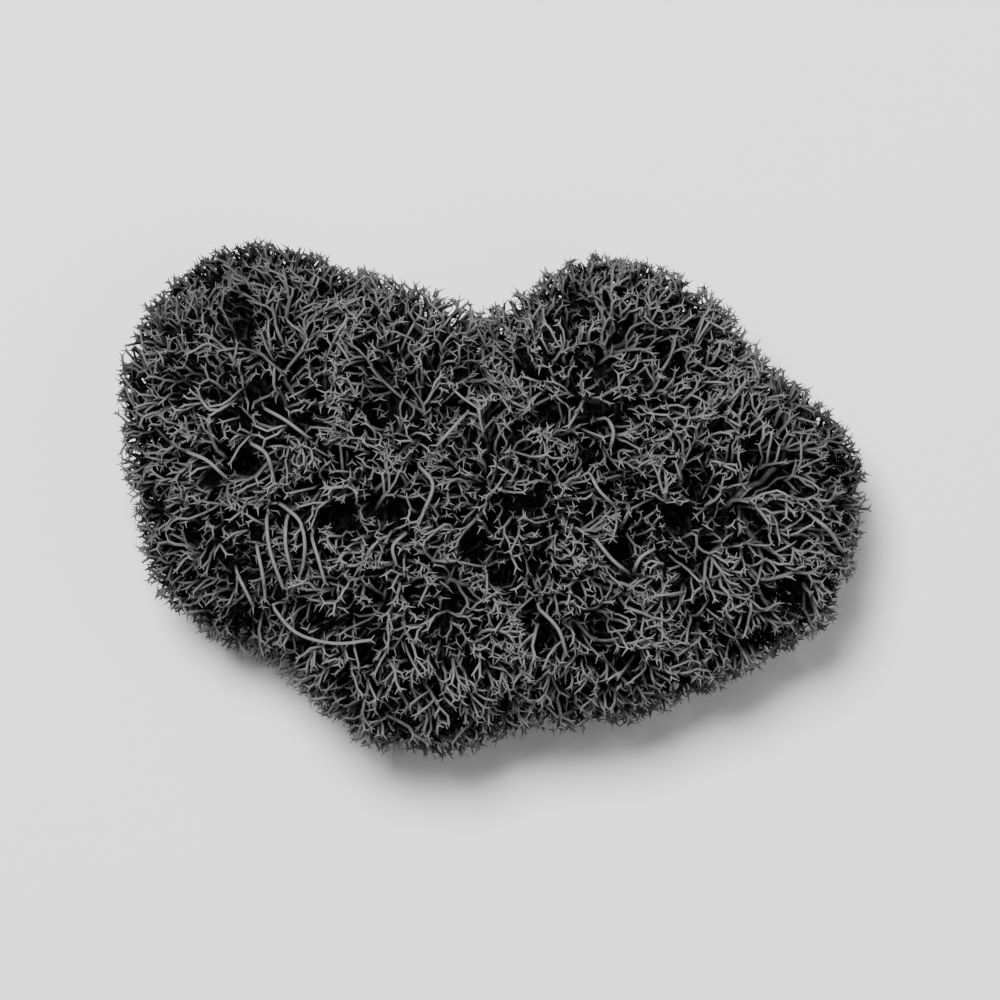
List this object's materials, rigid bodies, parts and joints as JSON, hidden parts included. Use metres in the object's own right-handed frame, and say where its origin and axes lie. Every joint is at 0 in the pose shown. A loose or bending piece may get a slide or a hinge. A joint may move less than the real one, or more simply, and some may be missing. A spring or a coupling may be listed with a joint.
{
  "type": "reindeer moss clump",
  "caption": "Clump of preserved reindeer moss dyed charcoal black, rounded bushy tufts of fine forked stems pressed together, lying on its side.",
  "frame": {"origin": "on the table under the middle of the clump's box", "axes": "the clump lies on its side: +X runs along its length, to the right in the picture, +Y is upward in the picture, +Z points up from the table to the side that the picture shows"},
  "size_m": [0.0878, 0.0594, 0.0379],
  "materials": {
    "dyed_lichen": "dull matt charcoal black, soft dry stems, faintly uneven"
  },
  "bodies": {
    "root": {"tuft_upper_left": "dyed_lichen", "tuft_left": "dyed_lichen", "tuft_middle_left": "dyed_lichen", "tuft_upper_middle": "dyed_lichen", "tuft_lower_left": "dyed_lichen", "tuft_middle": "dyed_lichen", "tuft_upper_right": "dyed_lichen", "tuft_right": "dyed_lichen", "tuft_lower_right": "dyed_lichen"}
  },
  "joints": []
}
